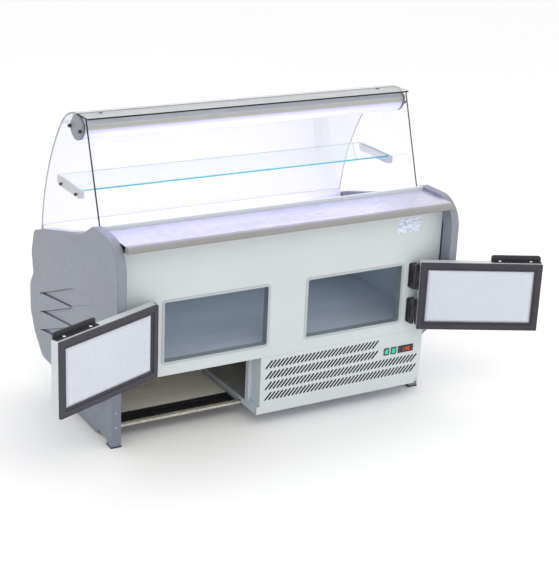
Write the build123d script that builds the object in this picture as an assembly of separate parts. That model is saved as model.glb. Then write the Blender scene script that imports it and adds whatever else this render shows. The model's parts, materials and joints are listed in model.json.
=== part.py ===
from build123d import *
import math
import os

# Refrigerated deli case, operator's side facing -Y and customer side facing +Y.
# Millimetres, +X along the case, +Z up. The sizes below are laid out from the middle of the base,
# and every piece is then moved by PLACE_Y, so that the origin ends up on the floor under the
# middle of the whole case with its doors open.

# ---- driving dimensions: the whole case ----
CASE_LENGTH = 1500.0        # over the end panels
END_PANEL_T = 37.5          # thickness of each moulded end panel
REAR_Y = -371.0             # outer face of the rear service panel
END_PANEL_REAR_Y = -439.0   # rearmost edge of the end panels
WORKTOP_Z = 856.0           # working surface
GLASS_TOP_Z = 1238.0        # top of the glass
PLACE_Y = 100.0             # from the middle of the base to the origin
GAP = 0.3                   # clearance between separate pieces
SHEET = 1.5                 # panel sheet thickness
GLASS_T = 6.0               # glass thickness

# ---- reserve chamber and its doors ----
BODY_BOTTOM_Z = 303.0       # underside of the insulated body
FLOOR_INSULATION = 50.0
WALL_INSULATION = 30.0
END_INSULATION = 44.0
DECK_Z = 645.0              # display deck
OPENING_W = 445.0
OPENING_H = 245.0
OPENING_R = 9.0
OPENING_X = 309.5           # centre of each door opening, either side of the middle
OPENING_BOTTOM_Z = 355.0
TRIM_FLANGE = 8.0
TRIM_WALL = 2.5
DOOR_LAP_X = 27.5           # how far a door covers the panel beyond its opening
DOOR_LAP_Z = 21.5
DOOR_SHELL_T = 34.0
GASKET_T = 9.0
GASKET_W = 32.0
DOOR_OPEN_LEFT = 157.0      # how far the doors stand open, against the end panels
DOOR_OPEN_RIGHT = 154.0
HINGE_EDGE = 17.0           # pin axis to the door's edge
HINGE_H = 104.0
HINGE_PIN_R = 3.0
PIN_CLEARANCE = 0.05
HINGE_PAD_W = 50.0
HINGE_PAD_T = 1.2
HANDLE_L = 204.0

# ---- lower body ----
LEG_POST = 40.0
LEG_REAR_Y = -291.0
LEG_FRONT_Y = 250.0
PAD_H = 6.0
BASE_Z = 60.0               # height of the base rails and pans
UNIT_LEFT_X = -110.0        # left side of the compressor compartment
SLOT_PITCH = 17.8
SLOT_LENGTH = 44.0
SLOT_WIDTH = 8.0
SLOT_LEAN = 47.6            # degrees from level
SLOT_ROW_PITCH = 45.5
SLOT_ROW_TOP_Z = 285.0

# ---- controls ----
ROCKER_W = 22.0
ROCKER_H = 27.0
ROCKER_X = (482.5, 517.5)
CONTROL_Z = 227.0
THERMOSTAT_W = 75.0
THERMOSTAT_H = 31.0
THERMOSTAT_X = 577.0
BUTTON_R = 2.6

# ---- glazing and canopy ----
PIVOT_Y = 388.0             # tilt axis of the front glass
PIVOT_Z = 645.0
PIVOT_R = 5.0
SHELF_Z = 937.0
SHELF_REAR_Y = 15.0
SHELF_DEPTH = 232.0
CANOPY_Y = 15.0             # centre of the canopy
CANOPY_DROP = 53.0          # from the top of the glass to the canopy's centre

# ---- refrigeration unit ----
FAN_R = 88.0
FAN_X = 175.0
FAN_Z = 180.0

# ---- worked out from the sizes above ----
HALF = CASE_LENGTH / 2
INNER_X = HALF - END_PANEL_T            # inner face of the end panels
LEG_OUTER_X = INNER_X - 4.5
UNIT_RIGHT_X = LEG_OUTER_X - LEG_POST - 12.0    # right side of the compressor compartment
SIDE_GLASS_X = INNER_X - GLASS_T - 1.5  # inner face of each side glass
CANOPY_Z = GLASS_TOP_Z - CANOPY_DROP
DOOR_W = OPENING_W + 2 * DOOR_LAP_X
DOOR_H = OPENING_H + 2 * DOOR_LAP_Z
BODY_X = INNER_X - 1.0                  # end of everything held between them
CHAMBER_FLOOR_Z = BODY_BOTTOM_Z + FLOOR_INSULATION
REAR_WALL_Y = REAR_Y + SHEET            # front face of the rear panel sheet
LINER_REAR_Y = REAR_WALL_Y + WALL_INSULATION
OPENING_Z = OPENING_BOTTOM_Z + OPENING_H / 2
HINGE_X = OPENING_X + DOOR_W / 2 + HINGE_EDGE
HINGE_Y = REAR_Y - GASKET_T - DOOR_SHELL_T / 2 - 2.0
DOOR_BOTTOM_Z = OPENING_Z - DOOR_H / 2 - 1.5
NOSE_REAR_Y = REAR_Y - 77.0
WORKTOP_FRONT_Y = -226.0
GLASS_OUT_X = SIDE_GLASS_X + GLASS_T


def block(x0, x1, y0, y1, z0, z1):
    """A box between two corners."""
    size = Box(x1 - x0, y1 - y0, z1 - z0)
    return Pos((x0 + x1) / 2, (y0 + y1) / 2, (z0 + z1) / 2) * size


def along_x(wires, x0, x1):
    """A section drawn in Y and Z, run from x0 to x1."""
    face = Plane.YZ.offset(x0) * make_face(wires)
    return extrude(face, amount=x1 - x0)


def polygon_x(points, x0, x1):
    return along_x(Polyline(*points, close=True), x0, x1)


def rod(start, end, radius):
    """A round bar between two points."""
    a = Vector(*start)
    b = Vector(*end)
    plane = Plane(origin=a, z_dir=b - a)
    return extrude(plane * Circle(radius), amount=(b - a).length)


def slab_y(width, height, radius, x, z, y0, y1):
    """A plate facing Y with rounded corners."""
    plane = Plane(origin=(x, y0, z), x_dir=(1, 0, 0), z_dir=(0, 1, 0))
    return extrude(plane * RectangleRounded(width, height, radius), amount=y1 - y0)


def mirror_x(shape):
    return mirror(shape, about=Plane.YZ)


def inset_arc(points, inset):
    """The same arc, drawn nearer to its own centre."""
    (ay, az), (by, bz), (cy, cz) = points
    d = 2 * (ay * (bz - cz) + by * (cz - az) + cy * (az - bz))
    a2, b2, c2 = ay * ay + az * az, by * by + bz * bz, cy * cy + cz * cz
    centre_y = (a2 * (bz - cz) + b2 * (cz - az) + c2 * (az - bz)) / d
    centre_z = (a2 * (cy - by) + b2 * (ay - cy) + c2 * (by - ay)) / d
    radius = math.hypot(ay - centre_y, az - centre_z)
    k = (radius - inset) / radius
    return [(centre_y + (y - centre_y) * k, centre_z + (z - centre_z) * k) for y, z in points]


def save(node, shape):
    solids = shape if isinstance(shape, list) else [shape]
    parts = []
    for piece in solids:
        placed = Pos(0, PLACE_Y, 0) * piece
        parts.extend(placed.solids())
    export_step(parts[0] if len(parts) == 1 else Compound(children=parts), f"parts/{node}.step")


# ---- end panels ----
# Corners of the panel's outline in Y and Z, each with its rounding.
END_PANEL_CORNERS = [
    ((END_PANEL_REAR_Y, WORKTOP_Z + 12.0), 120),
    ((-205, WORKTOP_Z + 13.0), 11),
    ((-92, WORKTOP_Z - 52.0), 5),
    ((396, 678), 34),
    ((430, 575), 80),
    ((409, 491), 6),
    ((449, 438), 60),
    ((449, 318), 80),
    ((405, 235), 80),
    ((318, 152), 70),
    ((-190, 148), 40),
    ((-318, 290), 60),
    ((END_PANEL_REAR_Y, 410), 80),
]
WAIST_Z = 491.0             # notch between the panel's brow and its lower lobe
RELIEF = [(330, 429), (-4, 563), (-314, 605), (8, 481)]
RELIEF_PITCH = 80.0
RELIEF_DEPTH = 10.0
SHADOW_LINE_W = 4.0         # groove along the two deep edges of each relief
SHADOW_LINE_DEPTH = 12.0
BROW = [(-92, WORKTOP_Z - 52.0), (320, 574), (460, 512), (460, 700), (396, 700)]
BROW_DEPTH = 1.6            # the front brow lies this far below the rest of the panel
DOOR_STOP_FLAT = 5.0        # flat on the inner rear edge, where the open door rests


def end_panel_face():
    """The panel's rounded outline."""
    corners = [point for point, radius in END_PANEL_CORNERS]
    radii = [radius for point, radius in END_PANEL_CORNERS]
    return make_face(FilletPolyline(*corners, radius=radii, close=True))


def shadow_line(a, b, side):
    """A narrow groove along one edge of a relief, on one side of the line from a to b."""
    run = Vector(b[0] - a[0], b[1] - a[1])
    step = Vector(-run.Y, run.X).normalized() * side * SHADOW_LINE_W
    points = [a, b, (b[0] + step.X, b[1] + step.Y), (a[0] + step.X, a[1] + step.Y)]
    return polygon_x(points, -HALF - 1.0, -HALF + SHADOW_LINE_DEPTH)


def end_panel_left():
    """Moulded end panel: a shell, open on its inner side, with three wedge reliefs."""
    panel = extrude(Plane.YZ.offset(-HALF) * end_panel_face(), amount=END_PANEL_T)
    panel = chamfer(panel.faces().sort_by(Axis.X)[0].edges(), 4.0)
    cavity = [(-380, 440), (-380, 760), (-230, 800), (-100, 740), (340, 630), (380, 400),
              (300, 240), (200, 200), (-150, 200)]
    panel -= polygon_x(cavity, -INNER_X - 22.0, -INNER_X)
    panel -= polygon_x(BROW, -HALF - 1.0, -HALF + BROW_DEPTH)
    tail = Vector(0, *RELIEF[2])
    nose = Vector(0, *RELIEF[0])
    run = nose - tail
    dip = math.degrees(math.asin(RELIEF_DEPTH / run.length))
    for row in range(3):
        outline = [(y, z - row * RELIEF_PITCH) for y, z in RELIEF]
        wedge = polygon_x(outline, -HALF - 30.0, -HALF)
        hinge = Axis((-HALF, outline[2][0], outline[2][1]), (0, -run.Z, run.Y))
        panel -= wedge.rotate(hinge, -dip)
        panel -= shadow_line(outline[0], outline[1], 1)
        panel -= shadow_line(outline[0], outline[3], -1)
    socket = rod((-INNER_X - 14.0, PIVOT_Y, PIVOT_Z), (-INNER_X, PIVOT_Y, PIVOT_Z), PIVOT_R + PIN_CLEARANCE)
    y = END_PANEL_REAR_Y
    flat = Polyline((-INNER_X, y), (-INNER_X - DOOR_STOP_FLAT, y), (-INNER_X, y + DOOR_STOP_FLAT), close=True)
    flat = extrude(Plane.XY.offset(DOOR_BOTTOM_Z - 30.0) * make_face(flat), amount=DOOR_H + 60.0)
    return panel - socket - flat


# ---- legs and base ----
def leg_frame_left():
    """Welded frame: rear and front posts, a side plate and a top rail."""
    outer = -LEG_OUTER_X
    top = BODY_BOTTOM_Z - 1.0
    rear = block(outer, outer + LEG_POST, LEG_REAR_Y, LEG_REAR_Y + 42.0, PAD_H, top)
    rear -= block(outer + 2, outer + LEG_POST - 2, LEG_REAR_Y + 2, LEG_REAR_Y + 40.0, PAD_H, top - 2)
    front = block(outer, outer + LEG_POST, LEG_FRONT_Y - 42.0, LEG_FRONT_Y, PAD_H, top)
    front -= block(outer + 2, outer + LEG_POST - 2, LEG_FRONT_Y - 40.0, LEG_FRONT_Y - 2, PAD_H, top - 2)
    plate = [(LEG_REAR_Y + 42.0, 26), (-170, 26), (-148, PAD_H), (LEG_FRONT_Y - 42.0, PAD_H),
             (LEG_FRONT_Y - 42.0, top), (LEG_REAR_Y + 42.0, top)]
    side = polygon_x(plate, outer, outer + 2.0)
    rail = block(outer + 2.0, outer + LEG_POST, LEG_REAR_Y + 42.0, LEG_FRONT_Y - 42.0, top - 30.0, top)
    return rear + front + side + rail


def foot_pads():
    pads = []
    for sx in (-1, 1):
        for y in (LEG_REAR_Y, LEG_FRONT_Y - 42.0):
            x = sx * (LEG_OUTER_X - LEG_POST / 2)
            pad = block(x - 22, x + 22, y - 2, y + 44, 0, PAD_H)
            pads.append(chamfer(pad.faces().sort_by(Axis.Z)[-1].edges(), 1.0))
    return pads


RAIL_H = 10.0
REAR_RAIL_Y = LEG_REAR_Y + 46.0
FRONT_RAIL_Y = LEG_FRONT_Y - 66.0
RAIL_X = LEG_OUTER_X - LEG_POST


def base_rails():
    """Two galvanised channels between the legs."""
    rails = []
    for y in (REAR_RAIL_Y, FRONT_RAIL_Y):
        rail = block(-RAIL_X, RAIL_X, y, y + 20.0, BASE_Z, BASE_Z + RAIL_H)
        rail -= block(-RAIL_X, RAIL_X, y + 2, y + 18.0, BASE_Z + 2, BASE_Z + RAIL_H)
        rails.append(rail)
    return rails


def base_tray():
    """Shallow black tray between the rails, with a grey storage plate standing in it."""
    y0 = REAR_RAIL_Y + 20.0
    y1 = FRONT_RAIL_Y
    x1 = UNIT_LEFT_X - 24.0
    tray = block(-RAIL_X, x1, y0, y1, BASE_Z - 8.0, BASE_Z + 4.0)
    tray -= block(-RAIL_X + 2, x1 - 2, y0 + 2, y1 - 2, BASE_Z - 6.0, BASE_Z + 4.0)
    plate = block(-RAIL_X + 3, x1 - 3, y0 + 75, y1 - 60, BASE_Z - 6.0, BASE_Z + 8.0)
    plate -= block(-RAIL_X + 3, x1 - 3, y0 + 77, y1 - 62, BASE_Z - 6.0, BASE_Z + 6.0)
    return [tray, plate]


KICK_BOTTOM_Z = 12.0
KICK_FOLD = 14.0


def kick_plate():
    """Customer-side kick plate, folded inwards between the front legs."""
    y = LEG_FRONT_Y + 0.5
    fold_x = BODY_X - LEG_POST - 10.0
    kick = block(-BODY_X, BODY_X, y, y + SHEET, KICK_BOTTOM_Z, 165.0)
    fold = block(-fold_x, fold_x, y - KICK_FOLD, y + SHEET, KICK_BOTTOM_Z, KICK_BOTTOM_Z + SHEET)
    return kick + fold


UNIT_REAR_Y = REAR_WALL_Y + 12.0
UNIT_FRONT_Y = 175.0


def unit_frame():
    """Chassis of the compressor compartment: pan, side return, corner posts and rails."""
    x0 = UNIT_LEFT_X - 12.0
    post = 22.0
    pan = block(x0, UNIT_RIGHT_X, UNIT_REAR_Y, UNIT_FRONT_Y, BASE_Z, BASE_Z + 26.0)
    pan -= block(x0 + 2, UNIT_RIGHT_X - 2, UNIT_REAR_Y + 2, UNIT_FRONT_Y - 2, BASE_Z + 2, BASE_Z + 26.0)
    for y in (REAR_RAIL_Y, FRONT_RAIL_Y):
        pan -= block(-RAIL_X, RAIL_X, y - GAP, y + 20.0 + GAP, BASE_Z - 1, BASE_Z + RAIL_H + GAP)
    top = BODY_BOTTOM_Z - 1.0
    side = block(UNIT_LEFT_X, UNIT_LEFT_X + SHEET, REAR_WALL_Y, UNIT_REAR_Y + 62.0, 94.0, top)
    side += block(UNIT_LEFT_X - 12.0, UNIT_LEFT_X + SHEET, UNIT_REAR_Y + 62.0, UNIT_REAR_Y + 63.5, 94.0, top)
    frame = pan + side
    frame += block(x0, x0 + post, UNIT_REAR_Y + 63.5, UNIT_REAR_Y + 63.5 + post, BASE_Z + 26.0, top)
    frame += block(x0, x0 + post, UNIT_FRONT_Y - post, UNIT_FRONT_Y, BASE_Z + 26.0, top)
    frame += block(x0, x0 + post, UNIT_REAR_Y + 63.5, UNIT_FRONT_Y, top - post, top)
    frame += block(x0, x0 + post, UNIT_REAR_Y, UNIT_REAR_Y + 64.5, BASE_Z + 20.0, 94.5)
    return frame


# ---- insulated body ----
def door_cut(y0, y1, grow):
    cuts = []
    for sx in (-1, 1):
        cuts.append(slab_y(OPENING_W + 2 * grow, OPENING_H + 2 * grow, OPENING_R + grow,
                           sx * OPENING_X, OPENING_Z, y0, y1))
    return cuts


REAR_TOP_Z = WORKTOP_Z - 30.0


def rear_panel():
    """White service panel with both door openings and a raised pad under each pair of hinges."""
    panel = block(-BODY_X, BODY_X, REAR_Y, REAR_WALL_Y, BODY_BOTTOM_Z, REAR_TOP_Z)
    for cut in door_cut(REAR_Y - 1, REAR_WALL_Y + 1, 0.5):
        panel -= cut
    for sx in (-1, 1):
        panel += slab_y(HINGE_PAD_W, DOOR_H + 14.0, 12.0, sx * HINGE_X, DOOR_BOTTOM_Z + DOOR_H / 2,
                        REAR_Y - HINGE_PAD_T, REAR_Y)
    return panel


GRILLE_NOTCH = (21.0, 22.0)


def slot_rows():
    """Centres of the leaning slots: two short rows above two long ones."""
    centres = []
    for row, count in enumerate((29, 29, 40, 40)):
        z = SLOT_ROW_TOP_Z - 17.0 - row * SLOT_ROW_PITCH
        for i in range(count):
            centres.append((UNIT_LEFT_X + 37.5 + i * SLOT_PITCH, z))
    return centres


def grille_panel():
    """White cover of the compressor compartment, with slots, control cut-outs and a bottom fold."""
    top = BODY_BOTTOM_Z - 0.5
    panel = block(UNIT_LEFT_X, UNIT_RIGHT_X, REAR_Y, REAR_WALL_Y, BASE_Z, top)
    panel += block(UNIT_LEFT_X - 13.0, UNIT_LEFT_X, REAR_Y, REAR_WALL_Y, BASE_Z, 93.0)
    panel += block(UNIT_LEFT_X - 13.0, UNIT_RIGHT_X - GRILLE_NOTCH[0], REAR_WALL_Y, REAR_WALL_Y + 10.0,
                   BASE_Z, BASE_Z + SHEET)
    panel -= block(UNIT_RIGHT_X - GRILLE_NOTCH[0], UNIT_RIGHT_X, REAR_Y - 1, REAR_WALL_Y + 1,
                   BASE_Z, BASE_Z + GRILLE_NOTCH[1])
    face = Plane(origin=(0, REAR_Y - 1, 0), x_dir=(1, 0, 0), z_dir=(0, 1, 0))
    slots = Sketch()
    for x, z in slot_rows():
        slots += Pos(x, -z) * Rot(0, 0, -SLOT_LEAN) * SlotOverall(SLOT_LENGTH, SLOT_WIDTH)
    panel -= extrude(face * slots, amount=SHEET + 2)
    for x in ROCKER_X:
        panel -= block(x - ROCKER_W / 2, x + ROCKER_W / 2, REAR_Y - 1, REAR_WALL_Y + 1,
                       CONTROL_Z - ROCKER_H / 2, CONTROL_Z + ROCKER_H / 2)
    panel -= block(THERMOSTAT_X - THERMOSTAT_W / 2 + 2, THERMOSTAT_X + THERMOSTAT_W / 2 - 2,
                   REAR_Y - 1, REAR_WALL_Y + 1,
                   CONTROL_Z - THERMOSTAT_H / 2 + 2, CONTROL_Z + THERMOSTAT_H / 2 - 2)
    return panel


FOAM_FRONT_Y = 320.0
FOAM_INNER_X = BODY_X - END_INSULATION
LINER_T = 1.0
LINER_FRONT_Y = FOAM_FRONT_Y - WALL_INSULATION
FOAM_TOP_Z = WORKTOP_Z - 42.0
FRONT_TOP_Z = PIVOT_Z - 30.0            # top of the front and end insulation


def foam_insulation():
    """Foam slabs of the insulated body: floor, rear wall, front wall and both ends."""
    y0 = REAR_WALL_Y
    y1 = FOAM_FRONT_Y
    floor = block(-BODY_X, BODY_X, y0, y1, BODY_BOTTOM_Z, CHAMBER_FLOOR_Z)
    rear = block(-BODY_X, BODY_X, y0, LINER_REAR_Y, CHAMBER_FLOOR_Z, FOAM_TOP_Z)
    for cut in door_cut(y0 - 1, LINER_REAR_Y + 1, 0.5):
        rear -= cut
    front = block(-BODY_X, BODY_X, LINER_FRONT_Y, y1, CHAMBER_FLOOR_Z, FRONT_TOP_Z)
    ends = []
    for sx in (-1, 1):
        x0, x1 = sorted((sx * FOAM_INNER_X, sx * BODY_X))
        ends.append(block(x0, x1, LINER_REAR_Y, LINER_FRONT_Y, CHAMBER_FLOOR_Z, FRONT_TOP_Z))
    return [floor, rear, front] + ends


def chamber_liner():
    """Folded stainless lining of the reserve chamber, open at the top."""
    x = FOAM_INNER_X
    outer = block(-x, x, LINER_REAR_Y, LINER_FRONT_Y, CHAMBER_FLOOR_Z, FRONT_TOP_Z)
    inner = block(-x + LINER_T, x - LINER_T, LINER_REAR_Y + LINER_T, LINER_FRONT_Y - LINER_T,
                  CHAMBER_FLOOR_Z + LINER_T, FRONT_TOP_Z + 1)
    liner = outer - inner
    for cut in door_cut(LINER_REAR_Y - 1, LINER_REAR_Y + 2, 0.5):
        liner -= cut
    return liner


def opening_trims():
    """Flanged frame lining each door opening."""
    trims = []
    for sx in (-1, 1):
        x = sx * OPENING_X
        flange = slab_y(OPENING_W + 2 * TRIM_FLANGE, OPENING_H + 2 * TRIM_FLANGE, OPENING_R + TRIM_FLANGE,
                        x, OPENING_Z, REAR_Y - 1.6, REAR_Y)
        sleeve = slab_y(OPENING_W, OPENING_H, OPENING_R, x, OPENING_Z, REAR_Y - 1.6, LINER_REAR_Y + LINER_T)
        hole = slab_y(OPENING_W - 2 * TRIM_WALL, OPENING_H - 2 * TRIM_WALL, OPENING_R - TRIM_WALL,
                      x, OPENING_Z, REAR_Y - 3, LINER_REAR_Y + 3)
        trims.append(flange + sleeve - hole)
    return trims


def bent_sheet(arcs, gap, thickness, x):
    """A curved sheet along one or more arcs, set in from them."""
    outer = [inset_arc(arc, gap) for arc in arcs]
    inner = [inset_arc(arc, gap + thickness) for arc in arcs]
    wires = [ThreePointArc(*arc) for arc in outer + inner]
    for layer in (outer, inner):
        for first, second in zip(layer, layer[1:]):
            if math.dist(first[2], second[0]) > 1e-3:
                wires.append(Line(first[2], second[0]))
    wires.append(Line(outer[0][0], inner[0][0]))
    wires.append(Line(outer[-1][2], inner[-1][2]))
    return along_x(wires, -x, x)


def panel_band(gap, y0, y1, z0, z1):
    """A sheet that follows the end panels' front edge inside it, between two heights."""
    outer = offset(end_panel_face(), -gap)
    inner = offset(end_panel_face(), -gap - SHEET)
    band = extrude(Plane.YZ.offset(-BODY_X) * (outer - inner), amount=2 * BODY_X)
    return band & block(-BODY_X, BODY_X, y0, y1, z0, z1)


SKIRT_INSET = 14.0


def front_panel():
    """Customer-side skirt, bent along the end panels' lower lobe."""
    return panel_band(SKIRT_INSET, 252.5, 460, 150, WAIST_Z - 5)


def fascia_panel():
    """Customer-side fascia above the bumper."""
    return panel_band(SKIRT_INSET, 380, 460, WAIST_Z + 21, 622)


def bumper_profile():
    """Rubbing strip in the waist between skirt and fascia."""
    z0 = WAIST_Z - 4.0
    z1 = WAIST_Z + 20.0
    front = 398.0
    profile = Polyline((front, z1), (front - 24, z1), (front - 24, z0), (front, z0))
    nose = ThreePointArc((front, z0), (front + 15, (z0 + z1) / 2), (front, z1))
    return along_x([profile, nose], -BODY_X, BODY_X)


# ---- worktop ----
def worktop():
    """Folded stainless worktop over the rear wall."""
    x = BODY_X
    top = block(-x, x, NOSE_REAR_Y + 26.0, WORKTOP_FRONT_Y, WORKTOP_Z - SHEET, WORKTOP_Z)
    top += block(-x, x, WORKTOP_FRONT_Y - SHEET, WORKTOP_FRONT_Y, WORKTOP_Z - 40.0, WORKTOP_Z)
    top += block(-x, x, NOSE_REAR_Y + 26.0, NOSE_REAR_Y + 26.0 + SHEET, WORKTOP_Z - 24.0, WORKTOP_Z)
    return top


def nose_profile():
    """Rounded grey edging along the worktop's rear."""
    y = NOSE_REAR_Y
    z = WORKTOP_Z
    front = y + 26.0 - GAP
    wires = [
        Line((front, z), (y + 10, z)),
        ThreePointArc((y + 10, z), (y + 1.5, z - 5), (y, z - 13)),
        ThreePointArc((y, z - 13), (y + 2.5, z - 21), (y + 10, z - 26)),
        Polyline((y + 10, z - 26), (front, z - 26), (front, z)),
    ]
    return along_x(wires, -BODY_X, BODY_X)


def upstand_rail():
    """Low white rail at the worktop's front edge."""
    y = WORKTOP_FRONT_Y + GAP
    rail = block(-BODY_X, BODY_X, y, y + 12.0, WORKTOP_Z - 36.0, WORKTOP_Z + 14.0)
    edges = rail.edges().filter_by(Axis.X).group_by(Axis.Z)[-1]
    return fillet(edges, 3.0)


def duct_panel():
    """Display back wall, from the worktop down to the deck, with a row of air holes."""
    y0 = WORKTOP_FRONT_Y + 13.0
    panel = polygon_x([(y0, WORKTOP_Z - 36), (y0 + SHEET, WORKTOP_Z - 36), (y0 + 18 + SHEET, DECK_Z + 4),
                       (y0 + 18, DECK_Z + 4)], -BODY_X, BODY_X)
    for i in range(24):
        x = (i - 11.5) * 55.0
        panel -= rod((x, y0 - 10, DECK_Z + 60), (x, y0 + 40, DECK_Z + 60), 9.0)
    return panel


TRAY_COUNT = 3
TRAY_REAR_Y = WORKTOP_FRONT_Y + 33.0
TRAY_FRONT_Y = PIVOT_Y - 32.0


def deck_trays():
    """Display trays, side by side between the end panels."""
    trays = []
    pitch = 2 * BODY_X / TRAY_COUNT
    for i in range(TRAY_COUNT):
        x0 = -BODY_X + i * pitch + 1.0
        x1 = x0 + pitch - 2.0
        tray = block(x0, x1, TRAY_REAR_Y, TRAY_FRONT_Y, DECK_Z - 14.0, DECK_Z)
        tray -= block(x0 + SHEET, x1 - SHEET, TRAY_REAR_Y + SHEET, TRAY_FRONT_Y - SHEET,
                      DECK_Z - 14.0, DECK_Z - SHEET)
        trays.append(tray)
    return trays


def support_rails():
    """Bearers under the trays and under the worktop's rear edge."""
    tray_z = DECK_Z - 14.0 - GAP
    front = block(-BODY_X, BODY_X, LINER_FRONT_Y, TRAY_FRONT_Y, FRONT_TOP_Z + 1, tray_z)
    rear = block(-BODY_X, BODY_X, TRAY_REAR_Y, TRAY_REAR_Y + 30.0, DECK_Z - 20.0, tray_z)
    nose = block(-BODY_X, BODY_X, NOSE_REAR_Y + 30.0, REAR_WALL_Y + 20.0, REAR_TOP_Z, REAR_TOP_Z + 4.0)
    return [front, rear, nose]


def evaporator():
    """Finned coil under the worktop: two end plates, fin block and tube bends."""
    y0 = LINER_REAR_Y + 6.0
    y1 = y0 + 84.0
    z0 = 670.0
    z1 = 790.0
    coil = block(-560, 560, y0, y1, z0, z1)
    for sx in (-1, 1):
        x0, x1 = sorted((sx * 560, sx * 563))
        coil += block(x0, x1, y0 - 2, y1 + 2, z0 - 4, z1 + 4)
        for i in range(4):
            z = z0 + 18 + i * 28
            x0, x1 = sorted((sx * 563, sx * 578))
            bend = block(x0, x1, y0 + 20, y0 + 64, z - 5, z + 5)
            coil += bend
    return coil


# ---- glazing ----
CURVE_TOP = [(20, GLASS_TOP_Z), (107, GLASS_TOP_Z - 18), (185, GLASS_TOP_Z - 75)]
CURVE_FRONT = [(185, GLASS_TOP_Z - 75), (333, GLASS_TOP_Z - 302), (408, 676)]


def front_glass():
    """One bent pane from the canopy to the fascia."""
    return bent_sheet([CURVE_TOP, CURVE_FRONT], 0.0, GLASS_T, GLASS_OUT_X)


def glass_rail():
    """Clamp profile on the pane's lower edge, with a pivot pin at each end."""
    inner = inset_arc(CURVE_FRONT, GLASS_T)
    y0 = PIVOT_Y - 10.0
    body = [(y0, PIVOT_Z - 6), (PIVOT_Y + 8, PIVOT_Z - 6), (415, 668), (413, 692), (inner[2][0] - 10, 694),
            (y0, PIVOT_Z + 10)]
    rail = polygon_x(body, -SIDE_GLASS_X + 1, SIDE_GLASS_X - 1)
    pane = bent_sheet([CURVE_FRONT], -0.2, GLASS_T + 0.4, GLASS_OUT_X + 1)
    rail -= pane
    for sx in (-1, 1):
        ends = [(sx * x, PIVOT_Y, PIVOT_Z) for x in (GLASS_OUT_X - 30, INNER_X + 12.0)]
        rail += rod(ends[0], ends[1], PIVOT_R)
    return rail


SIDE_REAR_BOTTOM = (-195, WORKTOP_Z - 32.0)
SIDE_REAR_TOP = (-58, GLASS_TOP_Z - GLASS_T - 0.6)


def side_glass_left():
    """Flat pane, cut to the front glass's curve, standing in the end panel's slot."""
    gap = GLASS_T + 0.8
    top = inset_arc(CURVE_TOP, gap)
    front = inset_arc(CURVE_FRONT, gap)
    wires = [
        Line(SIDE_REAR_BOTTOM, SIDE_REAR_TOP),
        Line(SIDE_REAR_TOP, top[0]),
        ThreePointArc(*top),
        Line(top[2], front[0]),
        ThreePointArc(*front),
        Line(front[2], (PIVOT_Y - 30, front[2][1] - 10)),
        Line((PIVOT_Y - 30, front[2][1] - 10), SIDE_REAR_BOTTOM),
    ]
    wires = [w for w in wires if w.length > 1e-4]
    return along_x(wires, -GLASS_OUT_X, -SIDE_GLASS_X)


TOP_GLASS_REAR_Y = -75.0
TOP_GLASS_FRONT_Y = 18.0
STOPS = ((-625.0, 1.0), (610.0, 6.0))   # clear buttons on the top pane
STOP_R = 7.0
STOP_H = 3.0


def top_glass():
    """Flat pane over the canopy, with two clear buttons."""
    x = GLASS_OUT_X - 2.0
    pane = block(-x, x, TOP_GLASS_REAR_Y, TOP_GLASS_FRONT_Y, GLASS_TOP_Z - GLASS_T, GLASS_TOP_Z)
    for stop_x, stop_y in STOPS:
        stop = rod((stop_x, stop_y, GLASS_TOP_Z), (stop_x, stop_y, GLASS_TOP_Z + STOP_H), STOP_R)
        pane += chamfer(stop.faces().sort_by(Axis.Z)[-1].edges(), 1.0)
    return pane


CANOPY_X = SIDE_GLASS_X - 1.0
CANOPY_ARC = [(CANOPY_Y + 62, CANOPY_Z), (CANOPY_Y + 6, CANOPY_Z - 47), (CANOPY_Y - 61, CANOPY_Z)]
CANOPY_TOP_Z = GLASS_TOP_Z - GLASS_T - 2.0
CANOPY_WALL = 3.0


def canopy_section():
    """Outline of the lamp housing in Y and Z."""
    front, bottom, rear = CANOPY_ARC
    shoulder = Polyline(rear, (CANOPY_Y - 63, CANOPY_Z + 24), (CANOPY_Y - 30, CANOPY_TOP_Z),
                        (CANOPY_Y + 24, CANOPY_TOP_Z), front)
    return [ThreePointArc(front, bottom, rear), shoulder]


LENS_TOP_Z = CANOPY_Z + 2.0
LENS_FRONT_Y = CANOPY_Y + 30.0
GROOVE_Z = CANOPY_Z + 11.0


def canopy_hollow():
    """The space inside the housing's wall, run past both ends."""
    x = CANOPY_X + 2.0
    return extrude(Plane.YZ.offset(-x) * offset(make_face(canopy_section()), -CANOPY_WALL), amount=2 * x)


def canopy_profile():
    """Extruded lamp housing, open below and behind for the lens, and the lamp carrier in it."""
    x = CANOPY_X + 1.0
    body = along_x(canopy_section(), -CANOPY_X, CANOPY_X)
    ribs = block(-x - 2, x + 2, CANOPY_Y - 80, LENS_FRONT_Y + CANOPY_WALL, CANOPY_Z - 70,
                 LENS_TOP_Z + CANOPY_WALL)
    body -= canopy_hollow() - ribs
    body -= block(-x, x, CANOPY_Y - 80, LENS_FRONT_Y, CANOPY_Z - 70, LENS_TOP_Z)
    body -= block(-x, x, CANOPY_Y - 80, CANOPY_Y - 60.5, GROOVE_Z, GROOVE_Z + 3.0)
    length = CANOPY_X - 20.0
    carrier = block(-length, length, CANOPY_Y - 16, CANOPY_Y + 8, LENS_TOP_Z - 10, LENS_TOP_Z)
    return [body, carrier]


def lamp_lens():
    """Bent diffuser closing the housing's open side."""
    x = CANOPY_X - 1.0
    outer = along_x(canopy_section(), -x, x)
    zone = block(-x, x, CANOPY_Y - 80, LENS_FRONT_Y - GAP, CANOPY_Z - 70, LENS_TOP_Z - GAP)
    return (outer & zone) - canopy_hollow()


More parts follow.
